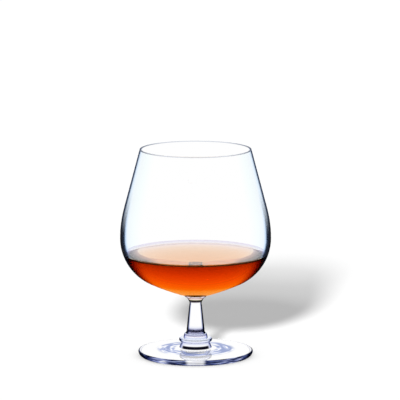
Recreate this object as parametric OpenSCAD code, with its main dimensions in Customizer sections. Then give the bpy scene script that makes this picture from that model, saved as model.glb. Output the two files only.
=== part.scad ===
// Brandy snifter: a thin blown bowl on a short drawn stem and a pressed foot,
// with a measure of brandy in the bowl.
// Every piece is a solid of revolution about Z and stands on the one below it.

/* [Bowl] */
// Height of the bowl from its seat to the lip
bowl_h = 90.8; // [80:0.1:110]
// Outer diameter at the belly, the widest place
belly_d = 92.2; // [84:0.2:104]
// Height of the belly above the seat
belly_h = 35.8; // [30:0.1:42]
// Outer diameter of the mouth
mouth_d = 68.2; // [60:0.2:76]
// Thickness of the wall at the lip
lip_wall = 1.1; // [0.8:0.1:2]
// Thickness of the wall at the belly and round the shoulder
belly_wall = 1.8; // [1.2:0.1:2.6]
// Thickness of the glass in the middle of the floor
floor_t = 3; // [2.2:0.1:4.5]

/* [Brandy] */
// Height of the brandy's surface above the bowl's seat
fill_h = 25.7; // [12:0.1:34]
// Height that the brandy climbs up the wall
meniscus_h = 1.4; // [0.8:0.1:2.5]

/* [Button] */
// Height of the button that joins bowl and stem
button_h = 3.1; // [2:0.1:6]
// Diameter of the button under the bowl
button_d = 12.8; // [10:0.1:18]
// Height of the button's upright edge
button_edge_h = 0.6; // [0.3:0.1:1.2]

/* [Stem] */
// Height of the stem
stem_h = 20.1; // [16:0.1:60]
// Diameter of the stem's top
stem_top_d = 8.5; // [7:0.1:9.5]
// Diameter of the stem's waist, its narrowest place
waist_d = 7.7; // [6:0.1:8.4]
// Distance of the waist below the stem's top
waist_drop = 2.6; // [1.5:0.1:5]
// Diameter where the stem starts to flare out to the collar
shank_d = 11; // [9:0.1:12]
// Diameter of the stem's bottom
stem_bottom_d = 12.5; // [12.2:0.1:13.4]
// Height of the flare at the stem's bottom
flare_h = 2.3; // [1:0.1:5]

/* [Collar and merese] */
// Height of the collar under the stem
collar_h = 2.7; // [1.5:0.1:4]
// Diameter of the collar's bottom
collar_d = 14.8; // [13.6:0.1:17]
// Rounding of the collar's top edge
collar_round = 0.7; // [0.2:0.1:0.8]
// Height of the merese, the ring between collar and foot
merese_h = 2.4; // [1.5:0.1:4]
// Diameter of the merese
merese_d = 20.2; // [18.4:0.1:26]
// Rounding of the merese's rim
merese_round = 1.1; // [0.4:0.1:1.2]

/* [Foot] */
// Diameter of the foot
foot_d = 70.2; // [60:0.2:84]
// Thickness of the foot at its edge
foot_edge_t = 3.6; // [2.5:0.1:5]
// Height of the foot's top surface where it meets the boss
foot_rise = 4.6; // [4:0.1:6]
// Height of the foot with its boss, up to the merese
foot_h = 8.9; // [7.5:0.1:14]
// Diameter of the boss's top
boss_top_d = 15.6; // [14.8:0.1:17.6]
// Diameter of the boss above the fillet at its root
boss_d = 19.6; // [18.4:0.1:30]
// Reach of the fillet between boss and foot
boss_fillet = 1.4; // [0.5:0.1:3]
// Rounding of the foot's upper edge
foot_edge_round = 0.8; // [0.3:0.1:1.2]
// Diameter of the circle on which the foot's underside starts to turn up
contact_d = 66; // [60:0.2:68]
// Diameter of the shallow hollow under the foot
hollow_d = 58; // [40:0.2:60]
// Depth of the hollow under the foot
hollow_t = 1.4; // [0.3:0.1:1.6]

/* [Hidden] */
$fn = 96;

// Bowl curves as shares: shoulder arc of belly height, side arc of the height
// above the belly, underside arc of the belly's radius
shoulder_share = 0.84;
side_share = 1.3;
underside_share = 3.5;
// How far each short curve bulges, as a share of its chord
button_cove_share = 0.1;
flare_cove_share = 0.13;
boss_bulge_share = 0.06;
boss_cove_share = 0.12;
boss_fillet_rise_share = 0.5;
foot_edge_bulge_share = 0.15;
meniscus_share = 0.2;
meniscus_reach_share = 2;
// How wide the collar's top is, as a share of its bottom
collar_top_share = 0.955;
// Greatest turn between two points of an arc, in degrees
arc_step = 6;

// Heights of the seats, from the ground up
merese_z = foot_h;
collar_z = merese_z + merese_h;
stem_z = collar_z + collar_h;
button_z = stem_z + stem_h;
bowl_z = button_z + button_h;

// Outer arcs of the bowl, in the bowl's own frame with its seat at zero
belly_r = belly_d / 2;
lip_r = lip_wall / 2;
shoulder_r = shoulder_share * belly_h;
side_r = side_share * (bowl_h - belly_h);
underside_r = underside_share * belly_r;
shoulder_c = [belly_r - shoulder_r, belly_h];
side_c = [belly_r - side_r, belly_h];
seat_edge = [button_d / 2, 0];
lip_out = [mouth_d / 2, bowl_h - lip_r];
lip_in = lip_out - [lip_wall, 0];

// Inner arcs: the shoulder and the side keep their centres, and the floor is
// an arc about the axis that touches the inner shoulder arc
shoulder_in_r = shoulder_r - belly_wall;
side_in_r = side_r - belly_wall;
floor_drop = belly_h - floor_t;
floor_in_r = (pow(shoulder_c.x, 2) + pow(floor_drop, 2) - pow(shoulder_in_r, 2))
    / (2 * (floor_drop - shoulder_in_r));
floor_in_c = [0, floor_t + floor_in_r];

// Foot: the boss's root above its fillet, and the sphere of the hollow underneath
boss_root = [boss_d / 2, foot_rise + boss_fillet_rise_share * boss_fillet];
hollow_r = (pow(hollow_d / 2, 2) + pow(hollow_t, 2)) / (2 * hollow_t);

// Direction of point p as seen from c
function heading(c, p) = atan2(p.y - c.y, p.x - c.x);

// Points of an arc about c, from angle a to angle b
function arc(c, r, a, b) =
    let (n = max(2, ceil(abs(b - a) / arc_step)))
    [for (i = [0:n]) let (t = a + (b - a) * i / n) c + r * [cos(t), sin(t)]];

// Points from p to q along an arc that bulges to the right of the way by a share of its chord
function bow(p, q, share) =
    let (
        chord = norm(q - p),
        sag = share * chord,
        r = (chord * chord / 4 + sag * sag) / (2 * abs(sag)),
        side = [q.y - p.y, p.x - q.x] / chord,
        c = (p + q) / 2 + side * (sag - sign(sag) * r),
        a = heading(c, p),
        turn = heading(c, q) - a,
        b = a + turn - 360 * round(turn / 360)
    )
    arc(c, r, a, b);

// Angle at which the line from p touches the circle about c, on its upper side
function touch_angle(c, r, p) = heading(c, p) - acos(r / norm(p - c));

// Centre of the circle of radius big that passes through p and holds the
// circle about c, touching it from inside
function holding_centre(c, r, p, big) =
    let (
        d = norm(p - c),
        u = (p - c) / d,
        near = big - r,
        x = (d * d + near * near - big * big) / (2 * d)
    )
    c + x * u + sqrt(near * near - x * x) * [u.y, -u.x];

// Side of the bowl: floor arc, shoulder arc, long side arc, straight wall up to the lip
function bowl_side(start, floor_c, floor_r, turn_r, long_r, lip) =
    let (meet = heading(floor_c, shoulder_c))
    concat(
        arc(floor_c, floor_r, heading(floor_c, start), meet),
        arc(shoulder_c, turn_r, meet, 0),
        arc(side_c, long_r, 0, touch_angle(side_c, long_r, lip)),
        [lip]
    );

underside_c = holding_centre(shoulder_c, shoulder_r, seat_edge, underside_r);
outer_side = bowl_side(seat_edge, underside_c, underside_r, shoulder_r, side_r, lip_out);
inner_side = bowl_side([0, floor_t], floor_in_c, floor_in_r, shoulder_in_r, side_in_r, lip_in);

// Radius of the bowl's inside at height z above its seat
function inside_r(z) = lookup(z, [for (p = inner_side) [p.y, p.x]]);

// List of points from its last to its first
function reversed(list) = [for (i = [len(list) - 1:-1:0]) list[i]];

// The outline is turned about Z at height z
module turned(z, outline) translate([0, 0, z]) rotate_extrude() polygon(outline);

// Blown bowl, with a fire-polished lip and a flat seat on the button
module bowl() color("aliceblue", 0.4)
    turned(bowl_z, concat(
        [[0, 0]],
        outer_side,
        arc(lip_out - [lip_r, 0], lip_r, 0, 180),
        reversed(inner_side)
    ));

// Button of glass between bowl and stem: an upright edge over a flared neck
module button() color("lightsteelblue")
    turned(button_z, concat(
        [[0, 0]],
        bow([stem_top_d / 2, 0], [button_d / 2, button_h - button_edge_h], -button_cove_share),
        [[button_d / 2, button_h], [0, button_h]]
    ));

// Drawn stem: a flare on the collar, a straight taper, and a waist under the button
module stem() color("azure")
    turned(stem_z, concat(
        [[0, 0]],
        bow([stem_bottom_d / 2, 0], [shank_d / 2, flare_h], -flare_cove_share),
        bow([waist_d / 2, stem_h - waist_drop], [stem_top_d / 2, stem_h], -flare_cove_share),
        [[0, stem_h]]
    ));

// Collar: a short tapered drum with a rounded top edge
module collar() color("lavender")
    turned(collar_z, concat(
        [[0, 0], [collar_d / 2, 0]],
        arc(
            [collar_top_share * collar_d / 2 - collar_round, collar_h - collar_round],
            collar_round, 0, 90
        ),
        [[0, collar_h]]
    ));

// Merese: a ring of glass with a round rim
module merese() color("lightblue")
    turned(merese_z, concat(
        [[0, 0]],
        arc([merese_d / 2 - merese_round, merese_round], merese_round, -90, 0),
        arc([merese_d / 2 - merese_round, merese_h - merese_round], merese_round, 0, 90),
        [[0, merese_h]]
    ));

// Pressed foot: a disc with a thick rounded edge, a domed boss and a shallow hollow underneath
module foot() color("ghostwhite")
    turned(0, concat(
        arc([0, hollow_t - hollow_r], hollow_r, 90, heading([0, hollow_t - hollow_r], [hollow_d / 2, 0])),
        bow([contact_d / 2, 0], [foot_d / 2, foot_edge_t - foot_edge_round], foot_edge_bulge_share),
        arc(
            [foot_d / 2 - foot_edge_round, foot_edge_t - foot_edge_round],
            foot_edge_round, 0, 90
        ),
        bow([boss_d / 2 + boss_fillet, foot_rise], boss_root, -boss_cove_share),
        bow(boss_root, [boss_top_d / 2, foot_h], boss_bulge_share),
        [[0, foot_h]]
    ));

// Brandy: fills the bowl's inside up to a level surface that curves up at the wall
module brandy() color("darkorange")
    translate([0, 0, bowl_z]) rotate_extrude() intersection() {
        polygon(concat(inner_side, [[0, bowl_h]]));
        polygon(concat(
            [[0, 0], [belly_r, 0], [belly_r, fill_h + meniscus_h]],
            reversed(bow(
                [inside_r(fill_h) - meniscus_reach_share * meniscus_h, fill_h],
                [inside_r(fill_h + meniscus_h), fill_h + meniscus_h],
                meniscus_share
            )),
            [[0, fill_h]]
        ));
    }

bowl();
button();
stem();
collar();
merese();
foot();
brandy();
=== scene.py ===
# %% [markdown]
# A brandy snifter in clear glass
#
# This lesson dresses a snifter that was drawn and measured elsewhere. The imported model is
# the frame: it says where each piece stands and how big it is. Here each piece gets a finer
# mesh, clear glass or brandy, and a studio to stand in.

# %% Load the frame
import math

import bpy
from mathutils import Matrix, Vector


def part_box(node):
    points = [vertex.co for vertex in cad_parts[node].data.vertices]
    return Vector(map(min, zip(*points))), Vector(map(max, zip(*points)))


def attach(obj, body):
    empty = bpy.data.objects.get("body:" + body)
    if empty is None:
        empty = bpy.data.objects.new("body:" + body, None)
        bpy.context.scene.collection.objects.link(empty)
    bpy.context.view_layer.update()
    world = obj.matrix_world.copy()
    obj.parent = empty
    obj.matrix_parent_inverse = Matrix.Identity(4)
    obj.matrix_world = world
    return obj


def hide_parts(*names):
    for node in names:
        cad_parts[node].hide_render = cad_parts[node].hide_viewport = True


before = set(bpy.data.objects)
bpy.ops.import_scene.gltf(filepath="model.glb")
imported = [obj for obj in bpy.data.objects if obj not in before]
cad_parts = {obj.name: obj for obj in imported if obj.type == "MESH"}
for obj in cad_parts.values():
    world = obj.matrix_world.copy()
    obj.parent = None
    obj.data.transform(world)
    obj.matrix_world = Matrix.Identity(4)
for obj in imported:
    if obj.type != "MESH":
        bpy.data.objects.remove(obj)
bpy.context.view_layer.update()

print("frame nodes:", sorted(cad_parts))

# %% [markdown]
# Sizes
#
# Blender works in metres. The heights and the widest diameters come from the frame, so the
# pieces stand exactly where the solids stand. The sizes between them are named here and are
# the same as in the drawing.

# %% Sizes of the bowl and the brandy
MM = 0.001


def base_of(node):
    """Height of a node's lowest point."""
    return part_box(node)[0].z


def top_of(node):
    """Height of a node's highest point."""
    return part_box(node)[1].z


def radius_of(node):
    """Radius of a round node, from its width along X."""
    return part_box(node)[1].x


bowl_base = base_of("bowl")
bowl_height = top_of("bowl") - bowl_base
belly_radius = radius_of("bowl")
belly_height = 35.8 * MM
mouth_radius = 34.1 * MM
lip_wall = 1.1 * MM
belly_wall = 1.8 * MM
floor_thickness = 3.0 * MM
brandy_level = 25.7 * MM
meniscus_height = 1.4 * MM
meniscus_reach = 2 * meniscus_height
print("bowl base, height and radius", [round(v, 4) for v in (bowl_base, bowl_height, belly_radius)])

# %% Sizes of the pieces below the bowl
button_radius = radius_of("button")
button_edge = 0.6 * MM
stem_top_radius = 4.25 * MM
waist_radius = 3.85 * MM
waist_drop = 2.6 * MM
shank_radius = 5.5 * MM
stem_foot_radius = radius_of("stem")
flare_height = 2.3 * MM
collar_radius = radius_of("collar")
collar_top_share = 0.955
collar_round = 0.7 * MM
merese_radius = radius_of("merese")
merese_round = 1.1 * MM
foot_radius = radius_of("foot")
foot_edge = 3.6 * MM
foot_edge_round = 0.8 * MM
foot_rise = 4.6 * MM
boss_radius = 9.8 * MM
boss_top_radius = 7.8 * MM
boss_fillet = 1.4 * MM
contact_radius = 33 * MM
hollow_radius = 29 * MM
hollow_depth = 1.4 * MM
print("radii", {n: round(radius_of(n), 5) for n in ("button", "stem", "collar", "merese", "foot")})

# %% Bulges of the short arcs
# Each is a share of the arc's chord, and it counts below zero where the arc is hollow.
button_cove, stem_cove, boss_cove, meniscus_cove = -0.1, -0.13, -0.12, -0.2
foot_edge_bulge, boss_bulge = 0.15, 0.06
print("most hollow arc", meniscus_cove, "and most bulging arc", foot_edge_bulge)

# %% [markdown]
# Drawing an outline
#
# Every piece of a stemmed glass is round, so each one is half an outline turned about the
# axis. By hand you would merge a plane to one point, extrude it from corner to corner, and
# spin it where the outline is an arc. A small pen does that here, so an outline reads as a
# list of strokes. A curve object and a Screw modifier would do too, but then the arcs would
# only be near the true ones.

# %% The pen
ARC_STEP = math.radians(2)
LEAST_STEPS = 2
ROUND_STEPS = 160
RING_MARGIN = 0.3 * MM
MERGE_DISTANCE = MM / 1000
SMOOTH_ANGLE = math.radians(40)
pen = {"x": 0.0, "z": 0.0}


def pen_down(name, x, z):
    """Starts a piece as one point at radius x and height z."""
    bpy.ops.object.select_all(action="DESELECT")
    bpy.ops.mesh.primitive_plane_add(size=MM, location=(0, 0, 0))
    piece = bpy.context.object
    piece.name = name
    piece.data.name = name
    bpy.ops.object.mode_set(mode="EDIT")
    bpy.ops.mesh.select_mode(type="VERT")
    bpy.ops.mesh.select_all(action="SELECT")
    bpy.ops.mesh.merge(type="CENTER")
    bpy.ops.transform.translate(value=(x, 0, z))
    pen.update(x=x, z=z)
    return piece


def pen_line(x, z):
    """Extrudes the point straight to radius x and height z."""
    step = (x - pen["x"], 0, z - pen["z"])
    bpy.ops.mesh.extrude_region_move(TRANSFORM_OT_translate={"value": step})
    pen.update(x=x, z=z)


def pen_straight(x, z):
    """A line with a ring near each of its ends, which keeps its shading straight between curves."""
    start_x, start_z = pen["x"], pen["z"]
    share = RING_MARGIN / math.hypot(x - start_x, z - start_z)
    for step in (share, 1 - share, 1):
        pen_line(start_x + step * (x - start_x), start_z + step * (z - start_z))


def pen_arc(cx, cz, turn):
    """Spins the point about the centre (cx, cz) by an angle, anticlockwise if positive."""
    steps = max(LEAST_STEPS, math.ceil(abs(turn) / ARC_STEP))
    bpy.ops.mesh.spin(steps=steps, angle=turn, center=(cx, 0, cz), axis=(0, 1, 0))
    dx, dz = pen["x"] - cx, pen["z"] - cz
    c, s = math.cos(turn), math.sin(turn)
    pen.update(x=cx + c * dx - s * dz, z=cz + s * dx + c * dz)


def pen_arc_to(cx, cz, angle):
    """Spins the point about (cx, cz) until it lies in the direction of an angle."""
    turn = angle - math.atan2(pen["z"] - cz, pen["x"] - cx)
    pen_arc(cx, cz, math.remainder(turn, math.tau))


def pen_bow(x, z, share):
    """Spins the point to (x, z) on an arc that bulges to the right by a share of its chord."""
    dx, dz = x - pen["x"], z - pen["z"]
    chord = math.hypot(dx, dz)
    sag = share * chord
    radius = (chord * chord / 4 + sag * sag) / (2 * abs(sag))
    reach = (sag - math.copysign(radius, sag)) / chord
    cx = (x + pen["x"]) / 2 + dz * reach
    cz = (z + pen["z"]) / 2 - dx * reach
    pen_arc_to(cx, cz, math.atan2(z - cz, x - cx))


def turn_round(piece):
    """Turns the finished outline about the axis and closes the mesh."""
    bpy.ops.mesh.select_all(action="SELECT")
    bpy.ops.mesh.spin(steps=ROUND_STEPS, angle=math.tau, center=(0, 0, 0), axis=(0, 0, 1))
    bpy.ops.mesh.select_all(action="SELECT")
    bpy.ops.mesh.remove_doubles(threshold=MERGE_DISTANCE)
    bpy.ops.mesh.normals_make_consistent(inside=False)
    bpy.ops.object.mode_set(mode="OBJECT")
    bpy.ops.object.shade_smooth_by_angle(angle=SMOOTH_ANGLE)
    print(piece.name, len(piece.data.polygons), "faces")
    return piece


print("pen ready, with a turn of", ROUND_STEPS, "steps")

# %% [markdown]
# The bowl
#
# A blown bowl has no straight line but its upper wall. Underneath it is nearly flat, then a
# tight shoulder arc turns into the belly, and a long arc leads into the straight wall up to
# the lip. A Solidify modifier would make the wall even, but the glass gathers in the floor.
# So the inside is drawn too: the same centres round the shoulder, and below them an arc about
# the axis.

# %% Arcs of the bowl
SHOULDER_SHARE, SIDE_SHARE, UNDERSIDE_SHARE = 0.84, 1.3, 3.5
shoulder = SHOULDER_SHARE * belly_height
side = SIDE_SHARE * (bowl_height - belly_height)
underside = UNDERSIDE_SHARE * belly_radius
shoulder_x = belly_radius - shoulder
side_x = belly_radius - side
lip_round = lip_wall / 2
lip_z = bowl_height - lip_round


def touch_angle(cx, cz, radius, x, z):
    """Where the line from (x, z) touches the circle about (cx, cz), on its upper side."""
    reach = math.hypot(x - cx, z - cz)
    return math.atan2(z - cz, x - cx) - math.acos(radius / reach)


def underside_centre():
    """Centre of the underside's arc, through the seat's edge and touching the shoulder arc."""
    dx, dz = button_radius - shoulder_x, -belly_height
    reach = math.hypot(dx, dz)
    near = underside - shoulder
    along = (reach * reach + near * near - underside * underside) / (2 * reach)
    across = math.sqrt(near * near - along * along)
    ux, uz = dx / reach, dz / reach
    return shoulder_x + along * ux + across * uz, belly_height + along * uz - across * ux


def floor_radius(shoulder_in):
    """Radius of the floor's arc, about the axis and touching the inner shoulder arc."""
    drop = belly_height - floor_thickness
    return (shoulder_x**2 + drop**2 - shoulder_in**2) / (2 * (drop - shoulder_in))


print("radii of shoulder, side and underside", [round(v, 4) for v in (shoulder, side, underside)])


# %% Outline of the bowl
def draw_bowl():
    """Draws the wall up the outside, over the lip and down the inside."""
    z = bowl_base
    piece = pen_down("bowl_glass", 0, z)
    pen_line(button_radius, z)
    cx, cz = underside_centre()
    meet = math.atan2(belly_height - cz, shoulder_x - cx)
    pen_arc_to(cx, z + cz, meet)
    pen_arc_to(shoulder_x, z + belly_height, 0)
    angle = touch_angle(side_x, belly_height, side, mouth_radius, lip_z)
    pen_arc_to(side_x, z + belly_height, angle)
    pen_straight(mouth_radius, z + lip_z)
    pen_arc(mouth_radius - lip_round, z + lip_z, math.pi)
    inner = side - belly_wall
    angle = touch_angle(side_x, belly_height, inner, mouth_radius - lip_wall, lip_z)
    pen_straight(side_x + inner * math.cos(angle), z + belly_height + inner * math.sin(angle))
    pen_arc_to(side_x, z + belly_height, 0)
    floor = floor_radius(shoulder - belly_wall)
    floor_z = floor_thickness + floor
    pen_arc_to(shoulder_x, z + belly_height, math.atan2(belly_height - floor_z, shoulder_x))
    pen_arc_to(0, z + floor_z, -math.pi / 2)
    pen_line(0, z)
    return turn_round(piece)


bowl = draw_bowl()

# %% [markdown]
# The pieces of the stem
#
# Under the bowl sit the button, the stem, the collar and the merese, small gathers of glass
# that were shaped hot and stuck together. They could be one outline, but then none could be
# taken out, so each is drawn from its own bottom to its own top.

# %% Button and stem
def draw_button():
    """Draws the flared neck and the upright edge of the button."""
    z, top = base_of("button"), top_of("button")
    piece = pen_down("button_glass", 0, z)
    pen_line(stem_top_radius, z)
    pen_bow(button_radius, top - button_edge, button_cove)
    pen_line(button_radius, top)
    pen_line(0, top)
    return turn_round(piece)


def draw_stem():
    """Draws the flare, the straight taper and the waist of the stem."""
    z, top = base_of("stem"), top_of("stem")
    piece = pen_down("stem_glass", 0, z)
    pen_line(stem_foot_radius, z)
    pen_bow(shank_radius, z + flare_height, stem_cove)
    pen_straight(waist_radius, top - waist_drop)
    pen_bow(stem_top_radius, top, stem_cove)
    pen_line(0, top)
    return turn_round(piece)


button = draw_button()
stem = draw_stem()


# %% Collar and merese
def draw_collar():
    """Draws the tapered drum with its rounded top edge."""
    z, top = base_of("collar"), top_of("collar")
    top_x = collar_top_share * collar_radius
    piece = pen_down("collar_glass", 0, z)
    pen_line(collar_radius, z)
    pen_line(top_x, top - collar_round)
    pen_arc(top_x - collar_round, top - collar_round, math.pi / 2)
    pen_line(stem_foot_radius, top)
    pen_line(0, top)
    return turn_round(piece)


def draw_merese():
    """Draws the ring with its round rim."""
    z, top = base_of("merese"), top_of("merese")
    rim_x = merese_radius - merese_round
    piece = pen_down("merese_glass", 0, z)
    pen_line(boss_top_radius, z)
    pen_line(rim_x, z)
    pen_arc(rim_x, z + merese_round, math.pi / 2)
    pen_line(merese_radius, top - merese_round)
    pen_arc(rim_x, top - merese_round, math.pi / 2)
    pen_line(collar_radius, top)
    pen_line(0, top)
    return turn_round(piece)


collar = draw_collar()
merese = draw_merese()

# %% [markdown]
# The foot
#
# The foot is pressed in a mould: a disc with a thick round edge, a domed boss in the middle,
# and a shallow hollow underneath, so that it stands on a ring and doesn't rock. A Boolean
# with a large ball would cut the hollow too, but one arc leaves cleaner faces.

# %% Foot
def draw_foot():
    """Draws the hollow underneath, the round edge, the top and the boss."""
    top = top_of("foot")
    sphere = (hollow_radius**2 + hollow_depth**2) / (2 * hollow_depth)
    piece = pen_down("foot_glass", 0, hollow_depth)
    centre_z = hollow_depth - sphere
    pen_arc_to(0, centre_z, math.atan2(-centre_z, hollow_radius))
    pen_straight(contact_radius, 0)
    pen_bow(foot_radius, foot_edge - foot_edge_round, foot_edge_bulge)
    pen_arc(foot_radius - foot_edge_round, foot_edge - foot_edge_round, math.pi / 2)
    pen_straight(boss_radius + boss_fillet, foot_rise)
    pen_bow(boss_radius, foot_rise + boss_fillet / 2, boss_cove)
    pen_bow(boss_top_radius, top, boss_bulge)
    pen_line(0, top)
    return turn_round(piece)


foot = draw_foot()

# %% [markdown]
# The brandy
#
# The drink fills the inside of the bowl and curves up a little at the wall. Its mesh could
# end where the glass begins, but then a film of air might show between the two. So it reaches
# a hair into the glass, and light bends at that wall as it does between glass and a drink.

# %% Brandy
WET = 0.05 * MM


def draw_brandy():
    """Draws the wetted floor, the wall and the curved surface of the brandy."""
    z = bowl_base
    turn_radius = shoulder - belly_wall
    floor = floor_radius(turn_radius)
    floor_z = z + floor_thickness + floor
    piece = pen_down("brandy_drink", 0, floor_z - floor - WET)
    pen_arc_to(0, floor_z, math.atan2(z + belly_height - floor_z, shoulder_x))
    wall_drop = belly_height - brandy_level - meniscus_height
    pen_arc_to(shoulder_x, z + belly_height, -math.asin(wall_drop / (turn_radius + WET)))
    level_drop = belly_height - brandy_level
    wall_at_level = shoulder_x + math.sqrt(turn_radius**2 - level_drop**2)
    pen_bow(wall_at_level - meniscus_reach, z + brandy_level, meniscus_cove)
    pen_straight(0, z + brandy_level)
    return turn_round(piece)


brandy = draw_brandy()

# %% [markdown]
# Small tools for shaders
#
# A finish is a tree of nodes. In the Shader Editor you would add each node with Shift+A and
# drag the links by hand. Here one short function adds one kind of node and gives back its
# output, so a finish reads like a sum.

# %% Node helpers for numbers
def add_node(tree, kind, **settings):
    """A new shader node of a kind, with its settings."""
    node = tree.nodes.new("ShaderNode" + kind)
    for name, value in settings.items():
        setattr(node, name, value)
    return node


def plug(tree, value, socket):
    """Links another node's output to a socket, or writes a plain value into it."""
    if isinstance(value, bpy.types.NodeSocket):
        tree.links.new(value, socket)
    else:
        socket.default_value = value


def plug_all(tree, values, sockets):
    """Plugs values into sockets, one after another."""
    for value, socket in zip(values, sockets):
        plug(tree, value, socket)


def calculate(tree, operation, first, second=0.0, clamp=False):
    """The result of a Math node on two values."""
    node = add_node(tree, "Math", operation=operation, use_clamp=clamp)
    plug_all(tree, (first, second), node.inputs)
    return node.outputs[0]


def times(tree, first, second):
    """Two shares multiplied."""
    return calculate(tree, "MULTIPLY", first, second)


def other(tree, share):
    """What a share lacks to 1."""
    return calculate(tree, "SUBTRACT", 1.0, share)


def fade(tree, value, start, end, first=0.0, last=1.0, way="SMOOTHSTEP"):
    """A step, soft or LINEAR, from first to last while the input goes from start to end."""
    node = add_node(tree, "MapRange", interpolation_type=way)
    plug_all(tree, (value, start, end, first, last), node.inputs)
    return node.outputs[0]


print("helpers for numbers ready")


# %% Node helpers for colours
WHITE = (1, 1, 1)
CLEAR = (*WHITE, 1)
# A Mix node has a set of sockets for each kind of value, and these are the ones for colours.
MIX_INPUTS, MIX_RESULT = (0, 6, 7), 2


def ramp(tree, value, stops):
    """A colour ramp with the given places and colours."""
    node = add_node(tree, "ValToRGB")
    elements = node.color_ramp.elements
    while len(elements) < len(stops):
        elements.new(1)
    for element, (place, colour) in zip(elements, stops):
        element.position = place
        element.color = (*colour, 1)
    plug(tree, value, node.inputs["Fac"])
    return node.outputs["Color"]


def mix_colours(tree, share, first, second, way="MIX"):
    """A colour between two, or a share of their product."""
    node = add_node(tree, "Mix", data_type="RGBA", blend_type=way)
    plug_all(tree, (share, first, second), [node.inputs[place] for place in MIX_INPUTS])
    return node.outputs[MIX_RESULT]


def as_colour(tree, recipe, share):
    """A colour from a recipe: a plain colour, the stops of a ramp over a share, or a function."""
    if callable(recipe):
        return recipe(tree, share)
    return ramp(tree, share, recipe) if isinstance(recipe, list) else (*recipe, 1)


print("helpers for colours ready")


# %% Node helpers for shaders
GLASS_IOR = 1.5


def new_material(name):
    """A new material without any shader yet."""
    material = bpy.data.materials.new(name)
    material.use_nodes = True
    tree = material.node_tree
    tree.nodes.remove(tree.nodes["Principled BSDF"])
    return material, tree


def mix_shaders(tree, share, first, second):
    """A shader between two others."""
    node = add_node(tree, "MixShader")
    plug_all(tree, (share, first, second), node.inputs)
    return node.outputs[0]


def light_shader(tree, kind, colour, **numbers):
    """A plain shader of a kind, in a colour, with its other inputs as numbers."""
    shader = add_node(tree, "Bsdf" + kind)
    plug(tree, colour, shader.inputs["Color"])
    for name, number in numbers.items():
        shader.inputs[name].default_value = number
    return shader.outputs[0]


def bent_light(tree, colour, ior=GLASS_IOR):
    """Light that goes through a surface and bends."""
    return light_shader(tree, "Refraction", colour, Roughness=0, IOR=ior)


def mirrored_light(tree, colour):
    """Light that a surface throws back."""
    return light_shader(tree, "Glossy", colour, Roughness=0)


def straight_light(tree, colour):
    """Light that goes through a surface and doesn't bend."""
    return light_shader(tree, "Transparent", colour)


def matt(tree, colour):
    """A matt colour without any gloss."""
    shader = add_node(tree, "BsdfPrincipled")
    shader.inputs["Base Color"].default_value = (*colour, 1)
    shader.inputs["Roughness"].default_value = 1
    shader.inputs["Specular IOR Level"].default_value = 0
    return shader.outputs[0]


def show(tree, shader):
    """Puts a shader on the surface."""
    tree.links.new(shader, tree.nodes["Material Output"].inputs["Surface"])


print("helpers for shaders ready, with an IOR of", GLASS_IOR)

# %% [markdown]
# Where a point is, and which way it looks
#
# What a place on a glass shows depends on two things. One is where it is on the piece, which
# the Object output of Texture Coordinate gives. The other is how far the surface turns away
# from the eye, and Layer Weight gives it as Facing, from 0 when it looks at you to 1 at the
# edge. A round glass needs that split into two: a surface that is only tilted up or down
# still shows the bright backdrop, and one that turns to the left or right shows the dark
# side of the room.

# %% Where a point is
def height_part(tree, vector):
    """The upward part of a vector."""
    split = add_node(tree, "SeparateXYZ")
    tree.links.new(vector, split.inputs[0])
    return split.outputs["Z"]


def straight_up(tree, length):
    """A vector that points straight up."""
    vector = add_node(tree, "CombineXYZ")
    plug(tree, length, vector.inputs["Z"])
    return vector.outputs[0]


def vector_math(tree, operation, *vectors):
    """A Vector Math node on one vector or two."""
    node = add_node(tree, "VectorMath", operation=operation)
    plug_all(tree, vectors, node.inputs)
    return node


def flat_part(tree, vector):
    """The level part of a vector."""
    return vector_math(tree, "MULTIPLY", vector, (1, 1, 0)).outputs[0]


def one_long(tree, vector):
    """A vector of the same direction and of length 1."""
    return vector_math(tree, "NORMALIZE", vector).outputs[0]


def place_of(tree):
    """Where a point is on its object."""
    return add_node(tree, "TexCoord").outputs["Object"]


def height_of(tree):
    """How high a point is on its object."""
    return height_part(tree, place_of(tree))


def radius_from_axis(tree):
    """How far a point is from the axis."""
    return vector_math(tree, "LENGTH", flat_part(tree, place_of(tree))).outputs["Value"]


def by_height(tree, stops, low, high):
    """A colour ramp over an object's height, between two heights."""
    return ramp(tree, fade(tree, height_of(tree), low, high, way="LINEAR"), stops)


def painted_bands_of(node, stops):
    """Painted light and shade in bands, from a node's lowest point to its highest."""
    return lambda tree: by_height(tree, stops, base_of(node), top_of(node))


print("helpers for places ready")


# %% Which way a surface looks
LEVEL_FROM, LEVEL_TO = 0.55, 0.85


def normal_of(tree):
    """The direction that a surface looks in."""
    return add_node(tree, "NewGeometry").outputs["Normal"]


def facing_of(tree):
    """How far a surface turns away from the eye."""
    return add_node(tree, "LayerWeight").outputs["Facing"]


def inside_of(tree):
    """1 where light comes to the surface from inside the piece."""
    return add_node(tree, "NewGeometry").outputs["Backfacing"]


def toward(tree, direction):
    """Cosine of the angle between a direction and the eye."""
    weight = add_node(tree, "LayerWeight")
    tree.links.new(direction, weight.inputs["Normal"])
    return other(tree, weight.outputs["Facing"])


def sideways(tree, direction):
    """How far a direction turns away from the eye to the left or right, whatever its slope."""
    steep = toward(tree, straight_up(tree, 1))
    reach = calculate(tree, "SQRT", other(tree, times(tree, steep, steep)))
    level = toward(tree, one_long(tree, flat_part(tree, direction)))
    return calculate(tree, "SUBTRACT", 1.0, calculate(tree, "DIVIDE", level, reach), clamp=True)


def edge_share(tree, upward, sloping):
    """How far an upright surface turns away from the eye, and 0 for a level one."""
    if sloping:
        return sideways(tree, normal_of(tree))
    level = fade(tree, calculate(tree, "ABSOLUTE", upward), LEVEL_FROM, LEVEL_TO)
    return times(tree, facing_of(tree), other(tree, level))


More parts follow.
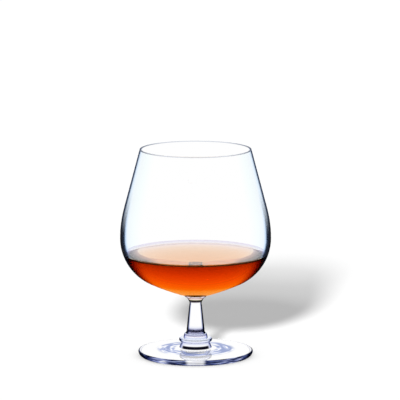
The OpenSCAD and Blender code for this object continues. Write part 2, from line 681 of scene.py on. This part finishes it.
print("level from a rise of", LEVEL_FROM, "to", LEVEL_TO)

# %% [markdown]
# Clear glass
#
# Clear glass has no colour of its own. On a white ground you see it by its edge: there the
# light comes from far to the side, where a studio is dark, so the edge is a slate band with a
# black line. A Principled shader with full transmission would find that dark side only if
# black boards stood beside the glass, and each other view would need its own. So the finish
# is mixed by hand from three plain shaders, and the dark side is painted on: the slate band
# is a painted shade, a ramp over how far the surface turns away, and the black line is a
# matt navy shader over the outermost part, also painted shade. Light that enters is bent by
# Refraction and takes that painted shade. Some is mirrored by Glossy, more of it where the
# surface turns away, which a Fresnel node tells. Light that meets the surface from inside at
# a flat angle is caught. A renderer would throw it about, give up after some bounces and
# leave a black spot, so here it goes straight on in a pale stand-in colour, which is painted
# light, at once or after a few bounces. Bands of painted light and shade can lie over all
# that enters or is mirrored.

# %% Clear glass
# NAVY is the colour of the painted black line at a glass's edge.
NAVY = (0.002, 0.003, 0.008)
CAUGHT_FROM, CAUGHT_TO = 0.2, 0.9
MIRRORED_TO = 0.6
UPRIGHT_SHINE = 0.015
BOUNCES = 3
GLASS_SOFT = 0.96


def caught_light(tree, deep, bounces):
    """Light that is thrown back inside some times, and then goes on in a stand-in colour."""
    onward = straight_light(tree, deep)
    if not bounces:
        return onward
    done = add_node(tree, "LightPath").outputs["Glossy Depth"]
    again = calculate(tree, "LESS_THAN", done, bounces)
    return mix_shaders(tree, again, onward, mirrored_light(tree, deep))


def pass_lamps(tree, shader, soft, shade):
    """Lets shares of the soft light and of the lamp through without a bend."""
    path = add_node(tree, "LightPath")
    for ray, clear in (("Is Diffuse Ray", soft), ("Is Shadow Ray", shade)):
        colour = clear(tree) if callable(clear) else (clear, clear, clear, 1)
        shader = mix_shaders(tree, path.outputs[ray], shader, straight_light(tree, colour))
    return shader


def clear_glass(name, edge_shade, line, deep, shade,
                painted_light=None, bounces=0, sloping=False, soft=GLASS_SOFT):
    """A glass. edge_shade is the painted shade of its edge, over how far it turns away, line says
    where its painted black line starts and is full, deep is the painted stand-in colour of light
    caught inside, shade and soft are what it lets through of the lamp and of the soft light,
    painted_light lays painted light and shade over all that enters or is mirrored, bounces is
    how often caught light is thrown back, and sloping finds the edge by the sideways turn alone."""
    material, tree = new_material(name)
    inside, upward = inside_of(tree), height_part(tree, normal_of(tree))
    away = times(tree, edge_share(tree, upward, sloping), other(tree, inside))
    # The edge's colour is painted shade over how far the surface turns away, and the optional layer
    # over it is painted light and shade.
    colour = as_colour(tree, edge_shade, away)
    over = painted_light(tree) if painted_light else CLEAR
    if painted_light:
        colour = mix_colours(tree, other(tree, inside), colour, over, "MULTIPLY")
    fresnel = add_node(tree, "Fresnel")
    fresnel.inputs["IOR"].default_value = GLASS_IOR
    turned_in = fade(tree, fresnel.outputs[0], CAUGHT_FROM, CAUGHT_TO)
    turned_out = fade(tree, fresnel.outputs[0], 0.0, MIRRORED_TO)
    shine = times(tree, turned_out, fade(tree, upward, LEVEL_FROM, LEVEL_TO, UPRIGHT_SHINE))
    entering = bent_light(tree, colour)
    caught = caught_light(tree, as_colour(tree, deep, facing_of(tree)), bounces)
    outer = mix_shaders(tree, shine, entering, mirrored_light(tree, over))
    inner = mix_shaders(tree, turned_in, entering, caught)
    glass = mix_shaders(tree, inside, outer, inner)
    # The black line is painted shade: a matt navy shader over the outermost part of the edge.
    if line:
        glass = mix_shaders(tree, fade(tree, away, *line), glass, matt(tree, NAVY))
    show(tree, pass_lamps(tree, glass, soft, shade))
    print("glass", name, "nodes", len(tree.nodes))
    return material


# %% [markdown]
# The bowl above the drink
#
# The belly's wall is the thickest and turns away fastest, so its edge is a wide band that
# ends near black. Towards the lip the wall gets thin and nearly straight, and only a thin
# slate line is left. Both are painted shade, ramps over how far the wall turns away. One
# glass with one ramp can't be both, and two materials would meet in a visible ring, so the
# finish fades from one ramp to the other with the height. The inside of the wall stays clear
# but for a breath of painted blue shade where it turns away, and the polished lip gets a thin
# painted grey ring of shade, darkest at its left and right ends.

# %% Glass of the bowl above the drink
# Painted shade at the edges of the bowl's wall, over how far it turns away, and on the lip.
BELLY_EDGE_SHADE = [
    (0.3, WHITE), (0.44, (0.94, 1, 1)), (0.57, (0.88, 0.95, 1)), (0.62, (0.645, 0.807, 1)),
    (0.655, (0.2, 0.27, 0.41)), (0.68, (0.024, 0.045, 0.073)), (0.72, (0.012, 0.016, 0.035)),
    (0.8, NAVY),
]
WALL_EDGE_SHADE = [
    (0.3, WHITE), (0.44, (0.94, 1, 1)), (0.6, (0.9, 0.955, 0.985)), (0.72, (0.87, 0.947, 1)),
    (0.76, (0.6, 0.69, 0.79)), (0.795, (0.12, 0.155, 0.23)), (0.83, (0.03, 0.05, 0.095)),
]
INNER_EDGE_SHADE = [(0.75, WHITE), (1, (0.75, 0.85, 1))]
LIP_PAINTED_SHADE = [
    (0, (0.72, 0.75, 0.8)), (0.16, (0.7, 0.72, 0.78)), (0.43, (0.45, 0.47, 0.52)),
    (0.8, (0.2, 0.22, 0.27)), (1, (0.1, 0.12, 0.17)),
]
BOWL_DEEP = (0.92, 0.95, 1.0)
WET_SHADE = 0.73
LOW_SHADE, HIGH_SHADE = 0.6, 0.78
SHADE_FROM, SHADE_TO = 62 * MM, 112 * MM
BELLY_UP_TO, WALL_FROM = 76 * MM, 106 * MM


def bowl_edge(tree, away):
    """The painted shade at the wall's edge, fading from the belly's ramp to the upper wall's."""
    rise = fade(tree, height_of(tree), BELLY_UP_TO, WALL_FROM)
    return mix_colours(tree, rise, ramp(tree, away, BELLY_EDGE_SHADE), ramp(tree, away, WALL_EDGE_SHADE))


def lip_painted_ring(tree):
    """A painted grey ring of shade on the lip, darkest at its left and right ends."""
    return ramp(tree, sideways(tree, normal_of(tree)), LIP_PAINTED_SHADE)


def wall_shade(tree):
    """A thinner wall lets more of the lamp through, so its shadow fades towards the lip."""
    return fade(tree, height_of(tree), SHADE_FROM, SHADE_TO, LOW_SHADE, HIGH_SHADE)


bowl_material = clear_glass("bowl_glass", bowl_edge, None, BOWL_DEEP, wall_shade)
inner_material = clear_glass("bowl_inner_glass", INNER_EDGE_SHADE, None, BOWL_DEEP, wall_shade)
lip_material = clear_glass("lip_glass", INNER_EDGE_SHADE, None, BOWL_DEEP, WET_SHADE, lip_painted_ring)

# %% [markdown]
# The bowl round the drink
#
# Light goes on from wet glass into brandy almost unbent, so the bowl and its drink work as one
# big ball lens. It turns the room upside down: the lower part of the drink shows the bright
# backdrop and is light gold, and the part under its surface shows the dim ceiling and is deep
# red brown. Real rays would need a whole room round the glass for that, so painted light and
# shade stand for it: the amber comes from the drink, and bands of painted colour over the
# height make it paler below and darker under its surface, the same from each side. The wall's
# edge gets a painted shade and a painted black line, and light caught inside goes on in
# painted stand-in colours.

# %% Glass of the bowl round the drink
brandy_top = bowl_base + brandy_level
# Painted shade at the edge of the drink's side, painted light and shade in bands over its height,
# and painted stand-in colours for caught light.
WET_EDGE_SHADE = [
    (0.27, WHITE), (0.35, (0.9, 0.85, 0.8)), (0.39, (0.76, 0.62, 0.5)), (0.44, (0.58, 0.36, 0.2)),
    (0.49, (0.36, 0.14, 0.05)), (0.54, (0.18, 0.04, 0)), (0.6, (0.06, 0.008, 0)), (0.68, (0, 0, 0)),
]
WET_BANDS = [
    (0, WHITE), (0.1, (1, 0.97, 0.95)), (0.2, (1, 0.93, 0.75)), (0.27, (1, 0.85, 0.42)),
    (0.34, (1, 0.54, 0.05)), (0.405, (1, 0.45, 0.02)), (0.47, (0.98, 0.38, 0.02)),
    (0.587, (0.9, 0.27, 0.02)), (0.697, (0.78, 0.19, 0.015)), (0.8, (0.65, 0.135, 0.01)),
    (0.9, (0.51, 0.1, 0.01)), (0.95, (0.4, 0.075, 0.01)), (0.975, (0.3, 0.06, 0.01)),
    (1, (0.9, 0.6, 0.3)),
]
WET_DEEP = [
    (0, WHITE), (0.18, (0.95, 0.9, 0.95)), (0.25, (0.6, 0.52, 0.65)),
    (0.33, (0.2, 0.16, 0.22)), (0.44, (0.03, 0.02, 0.01)),
]
UNDER_DEEP = (0.95, 0.75, 0.75)
FLOOR_UP_TO, SIDE_FROM = 22 * MM, 30 * MM
WET_LINE = (0.66, 0.72)
WET_TOP = brandy_top + meniscus_height / 2


def wet_deep(tree, facing):
    """Painted stand-in colour of caught light: dark in the drink's side, pinkish in the floor."""
    wide = fade(tree, radius_from_axis(tree), FLOOR_UP_TO, SIDE_FROM)
    return mix_colours(tree, wide, (*UNDER_DEEP, 1), ramp(tree, facing, WET_DEEP))


def painted_brandy_light(tree):
    """Painted light and shade on the drink, pale at its floor and red brown under its surface."""
    return by_height(tree, WET_BANDS, bowl_base, WET_TOP)


wet_material = clear_glass("wet_glass", INNER_EDGE_SHADE, None, BOWL_DEEP, WET_SHADE)
front_material = clear_glass("brandy_side_glass", WET_EDGE_SHADE, WET_LINE, wet_deep, WET_SHADE,
                             painted_brandy_light, sloping=True)

# %% [markdown]
# Button and stem
#
# Each of these small solid pieces is a strong lens, so it shows a tiny squeezed picture of
# the whole studio: dark where its outline curves in, clear where it is straight. The stem
# has dark side lines, and dark rings in its flare and under the button. The rays alone could
# do it, but in a plain white studio a lens shows only white. So the rings are painted light
# and shade in bands over each piece's own height, and the side lines are painted shade from
# the edge ramp over the sideways turn.

# %% Glass of the button and the stem
# Painted shade at the edges, and painted light and shade in bands over each piece's height.
STEM_EDGE_SHADE = [(0.27, WHITE), (0.35, (0.5, 0.55, 0.75)), (0.43, (0.1, 0.12, 0.25))]
STEM_DEEP = [(0.5, (0.2, 0.22, 0.4)), (0.62, (0.85, 0.87, 0.95))]
STEM_BANDS = [
    (0, (0.5, 0.5, 0.65)), (0.04, (0.4, 0.4, 0.55)), (0.07, (0.04, 0.04, 0.08)),
    (0.12, (0.04, 0.04, 0.08)), (0.16, (0.45, 0.46, 0.65)), (0.2, (0.85, 0.87, 0.96)),
    (0.26, WHITE), (0.945, WHITE), (0.975, (0.25, 0.22, 0.27)), (1, (0.03, 0.025, 0.03)),
]
BUTTON_EDGE_SHADE = [(0.3, WHITE), (0.42, (0.6, 0.6, 0.8)), (0.55, (0.1, 0.12, 0.25))]
BUTTON_BANDS = [
    (0, (0.012, 0.009, 0.006)), (0.13, (0.014, 0.01, 0.006)), (0.3, (0.25, 0.22, 0.12)),
    (0.43, (1, 0.98, 0.85)), (0.7, (0.95, 0.92, 1)), (0.9, (0.75, 0.7, 0.8)),
    (1, (0.8, 0.75, 0.8)),
]
BUTTON_LINE, STEM_LINE = (0.55, 0.7), (0.4, 0.5)
KNOB_SHADE = 0.5

button_material = clear_glass("button_glass", BUTTON_EDGE_SHADE, BUTTON_LINE, WHITE, KNOB_SHADE,
                              painted_bands_of("button", BUTTON_BANDS), sloping=True)
stem_material = clear_glass("stem_glass", STEM_EDGE_SHADE, STEM_LINE, STEM_DEEP, KNOB_SHADE,
                            painted_bands_of("stem", STEM_BANDS), BOUNCES, sloping=True)

# %% [markdown]
# Collar and merese
#
# A merese is a flattened ring of glass that is put between stem and foot while all is hot,
# and the collar is the step above it. Their round rims show lavender and dark lines all the
# way round. These are painted light and shade: rays would give them only in a room hung with
# coloured boards, so here too they are painted in bands by height. Their edges get a painted
# shade that turns from lavender to navy, sooner and harder on the merese.

# %% Glass of the collar and the merese
# Painted shade at the edges, and painted light and shade in bands by height.
RING_EDGE_SHADE = [
    (0, WHITE), (0.3, (0.95, 0.96, 1)), (0.5, (0.7, 0.73, 0.92)), (0.62, (0.2, 0.24, 0.5)),
    (0.75, (0.03, 0.04, 0.12)),
]
COLLAR_BANDS = [
    (0, (0.7, 0.75, 0.85)), (0.15, (0.9, 0.92, 1)), (0.45, (0.95, 0.95, 1)),
    (0.58, (0.5, 0.48, 0.65)), (0.75, (0.42, 0.41, 0.55)), (0.9, (0.5, 0.52, 0.68)),
    (1, (0.65, 0.7, 0.82)),
]
MERESE_EDGE_SHADE = [
    (0, WHITE), (0.36, (0.95, 0.96, 1)), (0.44, (0.6, 0.65, 0.85)), (0.475, (0.22, 0.28, 0.48)),
    (0.52, (0.06, 0.08, 0.2)), (0.62, (0.02, 0.03, 0.08)),
]
MERESE_BANDS = [
    (0, (0.5, 0.52, 0.7)), (0.15, (0.55, 0.57, 0.75)), (0.35, (0.75, 0.77, 0.9)),
    (0.55, (0.95, 0.96, 1)), (0.7, (0.5, 0.53, 0.62)), (0.8, (0.4, 0.43, 0.52)),
    (0.92, (0.75, 0.8, 0.9)), (1, (0.9, 0.93, 1)),
]
RING_DEEP = (0.8, 0.82, 0.95)
RING_SHADE = 0.6
RING_LINE = (0.75, 0.9)

collar_material = clear_glass("collar_glass", RING_EDGE_SHADE, RING_LINE, RING_DEEP, RING_SHADE,
                              painted_bands_of("collar", COLLAR_BANDS))
merese_material = clear_glass("merese_glass", MERESE_EDGE_SHADE, RING_LINE, RING_DEEP, RING_SHADE,
                              painted_bands_of("merese", MERESE_BANDS))

# %% [markdown]
# The foot: top, boss and rim
#
# A pressed foot keeps ripples from its mould. Seen at a flat angle they break the picture of
# the table under it into a ring of pale blue petals round the boss, and seen from above they
# nearly vanish. A bump could give ripples too, but in thick clear glass it scatters the rays
# and only makes the foot noisy. So the petals are painted light: a noise along the ring picks
# their colours, and Facing fades them out from above. The boss has a black crescent of
# painted shade low on its side, and the rim has long painted dark streaks, a painted
# reflection of the dark room, most of all at its left and right ends.

# %% Glass of the foot's top and boss
BOSS_DEEP = (0.93, 0.95, 1.0)
FOOT_SHADE = 0.97
# Painted shade on the boss in bands over its height, and painted light for the petals.
BOSS_BANDS = [
    (0.1, WHITE), (0.16, (0.003, 0.003, 0.01)), (0.5, (0.003, 0.003, 0.01)),
    (0.58, (0.95, 0.96, 1)), (0.7, WHITE), (0.85, (0.72, 0.75, 0.9)), (1, (0.8, 0.83, 0.95)),
]
PETALS = [
    (0.42, (0.36, 0.42, 0.66)), (0.52, (0.5, 0.56, 0.8)), (0.6, (0.85, 0.88, 1)), (0.64, WHITE),
]
PETALS_FROM, PETALS_FULL, PETALS_THIN, PETALS_TO = 12 * MM, 14 * MM, 21 * MM, 25 * MM
PETAL_SCALE, PETAL_REACH = 2, 220.0
PETALS_FROM_ABOVE = 0.12
GRAZED_FROM, GRAZED_TO = 0.2, 0.8
FLANK_FROM, FLANK_TO = 0.35, 0.55
FOOT_LINE, BOSS_LINE = (0.75, 0.95), (0.85, 0.98)
FOOT_SOFT = 0.6


def soft_noise(tree, place, scale):
    """A soft noise at a place."""
    noise = add_node(tree, "TexNoise")
    tree.links.new(place, noise.inputs["Vector"])
    noise.inputs["Scale"].default_value = scale
    noise.inputs["Detail"].default_value = 1
    return noise.outputs[0]


def painted_petals(tree):
    """Painted light: a ring of pale petals round the boss, the table seen through mould ripples."""
    radius = radius_from_axis(tree)
    around = one_long(tree, flat_part(tree, place_of(tree)))
    lift = straight_up(tree, times(tree, radius, PETAL_REACH))
    spot = vector_math(tree, "ADD", around, lift).outputs[0]
    petals = ramp(tree, soft_noise(tree, spot, PETAL_SCALE), PETALS)
    starts = fade(tree, radius, PETALS_FROM, PETALS_FULL)
    ring = times(tree, starts, fade(tree, radius, PETALS_TO, PETALS_THIN))
    grazed = fade(tree, facing_of(tree), GRAZED_FROM, GRAZED_TO, PETALS_FROM_ABOVE)
    return mix_colours(tree, times(tree, ring, grazed), CLEAR, petals)


def boss_painted_shade(tree):
    """Painted shade low on the boss's side, fading out on its flanks where it turns away."""
    bands = by_height(tree, BOSS_BANDS, foot_rise, top_of("foot"))
    return mix_colours(tree, fade(tree, facing_of(tree), FLANK_FROM, FLANK_TO), bands, CLEAR)


foot_material = clear_glass("foot_glass", RING_EDGE_SHADE, FOOT_LINE, WHITE, FOOT_SHADE,
                            painted_petals, soft=FOOT_SOFT)
boss_material = clear_glass("boss_glass", RING_EDGE_SHADE, BOSS_LINE, BOSS_DEEP, FOOT_SHADE,
                            boss_painted_shade, BOUNCES)


# %% Glass of the foot's rim
# Painted reflection of the dark room in streaks on the rim, and painted shade as it turns to the
# side.
RIM_STREAKS = [
    (0.34, (0.003, 0.004, 0.012)), (0.42, (0.04, 0.05, 0.13)), (0.5, (0.15, 0.18, 0.38)),
    (0.6, (0.4, 0.45, 0.7)), (0.7, WHITE),
]
RIM_TURN = [
    (0.01, WHITE), (0.02, (0.3, 0.35, 0.5)), (0.09, (0.4, 0.45, 0.6)), (0.14, WHITE),
    (0.3, WHITE), (0.45, (0.3, 0.34, 0.45)), (0.6, (0.08, 0.1, 0.16)),
]
STREAK_SCALE = (120, 120, 1200)
STREAKS_AT_FRONT, STREAKS_FROM, STREAKS_FULL = 0.25, 0.006, 0.02
RIM_LINE, RIM_SOFT = (0.6, 0.85), 0.0


def rim_painted_streaks(tree):
    """Painted reflection of the dark room in long streaks on the rim, as its slight waves from the
    mould would show it, strongest at its left and right ends.
    """
    place = add_node(tree, "Mapping")
    tree.links.new(place_of(tree), place.inputs["Vector"])
    place.inputs["Scale"].default_value = STREAK_SCALE
    streaks = ramp(tree, soft_noise(tree, place.outputs[0], scale=1), RIM_STREAKS)
    turned = sideways(tree, normal_of(tree))
    strength = fade(tree, turned, STREAKS_FROM, STREAKS_FULL, STREAKS_AT_FRONT)
    return mix_colours(tree, strength, ramp(tree, turned, RIM_TURN), streaks, "MULTIPLY")


rim_material = clear_glass("rim_glass", RING_EDGE_SHADE, RIM_LINE, RING_DEEP, FOOT_SHADE,
                           rim_painted_streaks, BOUNCES, soft=RIM_SOFT)

# %% [markdown]
# Seams
#
# The gathers were fused hot, so nothing shows where two of them meet. Each piece here is
# closed, so two faces lie on each other at every seam, and they get a finish that lets all
# light pass. Under the stem it is a Refraction with an IOR of 1, which bends nothing: down
# the axis a ray meets ten such faces, and a renderer allows fewer transparent steps than
# bent ones.

# %% Seams
def seam_material(name, refracts):
    """A place where two pieces were fused hot: nothing shows there."""
    material, tree = new_material(name)
    hidden = add_node(tree, "BsdfPrincipled")
    hidden.inputs["Alpha"].default_value = 0
    shader = hidden.outputs[0]
    if refracts:
        shadow = add_node(tree, "LightPath").outputs["Is Shadow Ray"]
        shader = mix_shaders(tree, shadow, bent_light(tree, CLEAR, 1), shader)
    show(tree, shader)
    print("seam", name, "nodes", len(tree.nodes))
    return material


fused = seam_material("fused_seam", False)
fused_low = seam_material("fused_low_seam", True)

# %% [markdown]
# The brandy's finish
#
# Brandy is clear, and its amber comes from oak. The longer the light's way through it, the
# redder it gets, so its colour is a Volume Absorption inside the mesh and not a paint on it.
# Its level surface mirrors the bowl's back wall, and a painted rose colour on it makes the pale
# rose ellipse. Towards the wall it climbs, and there the ellipse gets a painted brown shade at
# its shore, so its colour follows the distance from the axis. Where the eye grazes it the paint
# turns paler, a painted sheen, seen from below it is painted gold, and on the drink's sides a
# dark amber on the mirror dims it.

# %% Brandy's finish
# Painted light and shade for the surface: rose in the middle, a brown shade at the shore, a paler
# sheen where the eye grazes it, gold from below, and a dark amber that dims the mirror on the
# sides.
SHORE = [
    (0, (0.76, 0.62, 0.82)), (0.35, (0.7, 0.58, 0.7)), (0.5, (0.6, 0.48, 0.46)),
    (0.6, (0.55, 0.42, 0.36)), (0.68, (0.95, 0.9, 1)), (0.85, (0.55, 0.5, 0.75)),
    (1, (0.3, 0.27, 0.5)),
]
GOLD = (1.0, 0.75, 0.35)
NEAR_SHORE = (1.0, 0.72, 0.8)
DEEP_AMBER = (0.3, 0.1, 0.02)
BRANDY_IOR = 1.36
AMBER, AMBER_DENSITY = (0.996, 0.87, 0.64, 1), 150
SHORE_FROM, SHORE_TO = 34 * MM, 45 * MM
NEAR_FROM, NEAR_FULL = 0.85, 0.93
OPEN_FROM, OPEN_FULL = 0.05, 0.1


def brandy_surface(tree, inside):
    """1 on the drink's open surface, seen from above or from below."""
    sense = other(tree, times(tree, inside, 2.0))
    return fade(tree, times(tree, height_part(tree, normal_of(tree)), sense), OPEN_FROM, OPEN_FULL)


def painted_brandy_surface(tree, out):
    """Painted light and shade on the surface: rose middle, brown shore, paler where grazed."""
    near = fade(tree, facing_of(tree), NEAR_FROM, NEAR_FULL)
    return mix_colours(tree, near, ramp(tree, out, SHORE), (*NEAR_SHORE, 1))


def brandy_material():
    """Amber brandy, coloured by the light's way through it, with painted light on its surface."""
    material, tree = new_material("brandy")
    inside = inside_of(tree)
    surface = brandy_surface(tree, inside)
    out = fade(tree, radius_from_axis(tree), SHORE_FROM, SHORE_TO, way="LINEAR")
    edge = mix_colours(tree, inside, painted_brandy_surface(tree, out), (*GOLD, 1))
    drink = add_node(tree, "BsdfPrincipled")
    plug(tree, mix_colours(tree, surface, CLEAR, edge), drink.inputs["Base Color"])
    plug(tree, mix_colours(tree, surface, (*DEEP_AMBER, 1), edge), drink.inputs["Specular Tint"])
    drink.inputs["Transmission Weight"].default_value = 1
    drink.inputs["Roughness"].default_value = 0
    drink.inputs["IOR"].default_value = BRANDY_IOR
    show(tree, drink.outputs[0])
    absorb = add_node(tree, "VolumeAbsorption")
    absorb.inputs["Color"].default_value = AMBER
    absorb.inputs["Density"].default_value = AMBER_DENSITY
    tree.links.new(absorb.outputs["Volume"], tree.nodes["Material Output"].inputs["Volume"])
    print("brandy nodes", len(tree.nodes))
    return material


# %% [markdown]
# Dressing the pieces
#
# Each new piece takes the place of its solid and rides on the one body that the glass has. A
# piece can carry several finishes, one to a face. In the viewport you would select rings of
# faces and press Assign. Here they are picked by where they are: seams by their height, the
# bowl by the drink's level, its inside and its lip, and the foot by its boss and its rim.

# %% Dress the pieces
SEAM_SLOT = 1
LEVEL_LIMIT = 0.999
SAME_HEIGHT = MM / 100


def fuse(piece, height, radius):
    """Gives the seam's finish to the level faces at a height and inside a radius."""
    for face in piece.data.polygons:
        level = abs(face.normal.z) > LEVEL_LIMIT and abs(face.center.z - height) < SAME_HEIGHT
        if level and math.hypot(face.center.x, face.center.y) < radius:
            face.material_index = SEAM_SLOT


def dress(piece, node, slot, materials, *seams):
    """Gives a piece its finishes, its seams and its place in the frame."""
    piece.data.materials.clear()
    for material in materials:
        piece.data.materials.append(material)
    for height, radius in seams:
        fuse(piece, height, radius)
    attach(piece, "root")
    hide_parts(node)
    print(piece.name, "stands for", node, "with finishes", [m.name for m in materials])


seam_foot = (top_of("foot"), boss_top_radius)
seam_merese = (top_of("merese"), collar_radius)
seam_collar = (top_of("collar"), stem_foot_radius)
seam_stem = (top_of("stem"), stem_top_radius)
seam_button = (bowl_base, button_radius)
bowl_finishes = [bowl_material, fused, wet_material, front_material, inner_material, lip_material]
foot_finishes = [foot_material, fused_low, boss_material, rim_material]
dress(bowl, "bowl", "clear_glass", bowl_finishes, seam_button)
dress(button, "button", "clear_glass", [button_material, fused], seam_stem, seam_button)
dress(stem, "stem", "clear_glass", [stem_material, fused], seam_collar, seam_stem)
dress(collar, "collar", "clear_glass", [collar_material, fused_low], seam_merese, seam_collar)
dress(merese, "merese", "clear_glass", [merese_material, fused_low], seam_foot, seam_merese)
dress(foot, "foot", "clear_glass", foot_finishes, seam_foot)
dress(brandy, "brandy", "brandy_liquid", [brandy_material()])
brandy.visible_diffuse = False


# %% Finishes of the bowl's and the foot's faces
LOOKS_UP = 0.5


def finish_the_bowl():
    """Gives the bowl its finishes: outside, inside, above and below the brandy, and the lip."""
    for face in bowl.data.polygons:
        x, y, z = face.center
        outward = face.normal.x * x + face.normal.y * y > 0 and face.normal.z < LOOKS_UP
        if face.material_index == SEAM_SLOT:
            continue
        if z < WET_TOP:
            chosen = front_material if outward else wet_material
        elif z > bowl_base + lip_z:
            chosen = lip_material
        else:
            chosen = bowl_material if outward else inner_material
        face.material_index = bowl_finishes.index(chosen)


def finish_the_foot():
    """Gives the boss and the rim of the foot their own finishes."""
    for face in foot.data.polygons:
        x, y, z = face.center
        if face.material_index != SEAM_SLOT and z > foot_rise:
            face.material_index = foot_finishes.index(boss_material)
        elif math.hypot(x, y) > contact_radius and z < foot_edge:
            face.material_index = foot_finishes.index(rim_material)


def count_finishes(piece):
    """Prints how many faces of a piece carry each finish."""
    used = [face.material_index for face in piece.data.polygons]
    print(piece.name, {m.name: used.count(i) for i, m in enumerate(piece.data.materials)})


finish_the_bowl()
finish_the_foot()
count_finishes(bowl)
count_finishes(foot)

# %% [markdown]
# The floor
#
# The glass stands on a wide sheet of pale matt card, which takes the shadow. Where glass or
# brandy shows the card it is plain white, by Is Transmission Ray and Is Glossy Ray of Light
# Path. A plain card would do, but clear glass on a pale ground looks clean only if what it
# shows is as bright as what is round it.

# %% Floor
FLOOR_SIZE = 24
FLOOR_GREY = (0.9, 0.9, 0.9)
FLOOR_DROP = 0.05 * MM


def sent_by_glass(tree):
    """1 for the rays that glass sends on, bent or mirrored."""
    path = add_node(tree, "LightPath")
    bent, mirrored = path.outputs["Is Transmission Ray"], path.outputs["Is Glossy Ray"]
    return calculate(tree, "ADD", bent, mirrored, clamp=True)


def floor_material():
    """Pale and matt, and plain white where glass shows it."""
    material, tree = new_material("studio_floor")
    white = add_node(tree, "Emission")
    show(tree, mix_shaders(tree, sent_by_glass(tree), matt(tree, FLOOR_GREY), white.outputs[0]))
    return material


def lay_floor():
    """A wide pale floor, a hair under the foot, that takes the shadow."""
    bpy.ops.object.select_all(action="DESELECT")
    bpy.ops.mesh.primitive_plane_add(size=FLOOR_SIZE, location=(0, 0, -FLOOR_DROP))
    floor = bpy.context.object
    floor.name = "studio_floor"
    floor.data.materials.append(floor_material())
    print("floor", FLOOR_SIZE, "m wide,", FLOOR_DROP, "m under the foot")


lay_floor()

# %% [markdown]
# The world
#
# One world does three jobs, told apart by Light Path. The camera sees plain white behind the
# glass. Matt surfaces get a soft even grey light. Glass shows a room that is white at the
# eye's height and dark at its ceiling, and so its rims get their dark parts. Real softboxes
# would do it too, but they'd be seen in the bowl as squares.

# %% World
CEILING = [(0.4, WHITE), (0.5, (0.3, 0.3, 0.45)), (0.65, (0.01, 0.012, 0.03))]
SOFT_GREY = (0.52, 0.52, 0.52)


def light_world():
    """White for the eye, soft for the floor, and a dark ceiling for the glass."""
    world = bpy.data.worlds.new("studio")
    bpy.context.scene.world = world
    world.use_nodes = True
    tree = world.node_tree
    room = ramp(tree, height_part(tree, add_node(tree, "TexCoord").outputs["Generated"]), CEILING)
    path = add_node(tree, "LightPath")
    soft = mix_colours(tree, path.outputs["Diffuse Depth"], room, (*SOFT_GREY, 1))
    seen = mix_colours(tree, path.outputs["Is Camera Ray"], soft, CLEAR)
    tree.links.new(seen, tree.nodes["Background"].inputs["Color"])
    print("world nodes", len(tree.nodes))


light_world()

# %% [markdown]
# The key light
#
# One lamp behind the camera's left shoulder throws the shadow to the right and back. A sun
# with a few degrees of width gives the same soft edge at any size of object. The glass would
# show it as a hard white dot, so its strength is zero for the rays that glass sends on.

# %% Key light
KEY_ELEVATION, KEY_ASIDE = math.radians(23), math.radians(12)
KEY_ENERGY, KEY_WIDTH = 4.9, math.radians(6)
KEY_DISTANCE = 2


def hang_key():
    """A low sun behind the camera's left shoulder, which the glass doesn't show."""
    level = KEY_DISTANCE * math.cos(KEY_ELEVATION)
    bpy.ops.object.light_add(type="SUN", location=(
        -level * math.sin(KEY_ASIDE),
        -level * math.cos(KEY_ASIDE),
        KEY_DISTANCE * math.sin(KEY_ELEVATION),
    ))
    key = bpy.context.object
    key.name = "key_light"
    key.data.energy = KEY_ENERGY
    key.data.angle = KEY_WIDTH
    key.rotation_euler = (-key.location).to_track_quat("-Z", "Y").to_euler()
    key.data.use_nodes = True
    tree = key.data.node_tree
    tree.links.new(other(tree, sent_by_glass(tree)), tree.nodes["Emission"].inputs["Strength"])
    print("key light at", [round(v, 2) for v in key.location])


hang_key()

# %% [markdown]
# The camera
#
# A long lens a few steps away keeps the ellipses of lip, drink and foot flat and alike, as in
# a picture for a catalogue. The camera stands higher than the lip and looks slightly down.
# Its place is worked out from how much the three ellipses open.

# %% Camera
CAMERA_DISTANCE, CAMERA_HEIGHT = 2.3825, 0.48815
CAMERA_PITCH, AIM_X = math.radians(9.337), 0.0027
LENS, SENSOR, FAR_END = 356.46, 36, 100


def set_camera():
    """A long lens that looks slightly down on the glass."""
    bpy.ops.object.camera_add(location=(0, -CAMERA_DISTANCE, CAMERA_HEIGHT))
    camera = bpy.context.object
    camera.data.lens = LENS
    camera.data.sensor_width = SENSOR
    camera.data.clip_end = FAR_END
    camera.rotation_euler = (math.pi / 2 - CAMERA_PITCH, 0, -math.atan2(AIM_X, CAMERA_DISTANCE))
    bpy.context.scene.camera = camera
    print("camera at", [round(v, 3) for v in camera.location], "lens", LENS)


set_camera()
bpy.context.scene.view_settings.view_transform = "Standard"
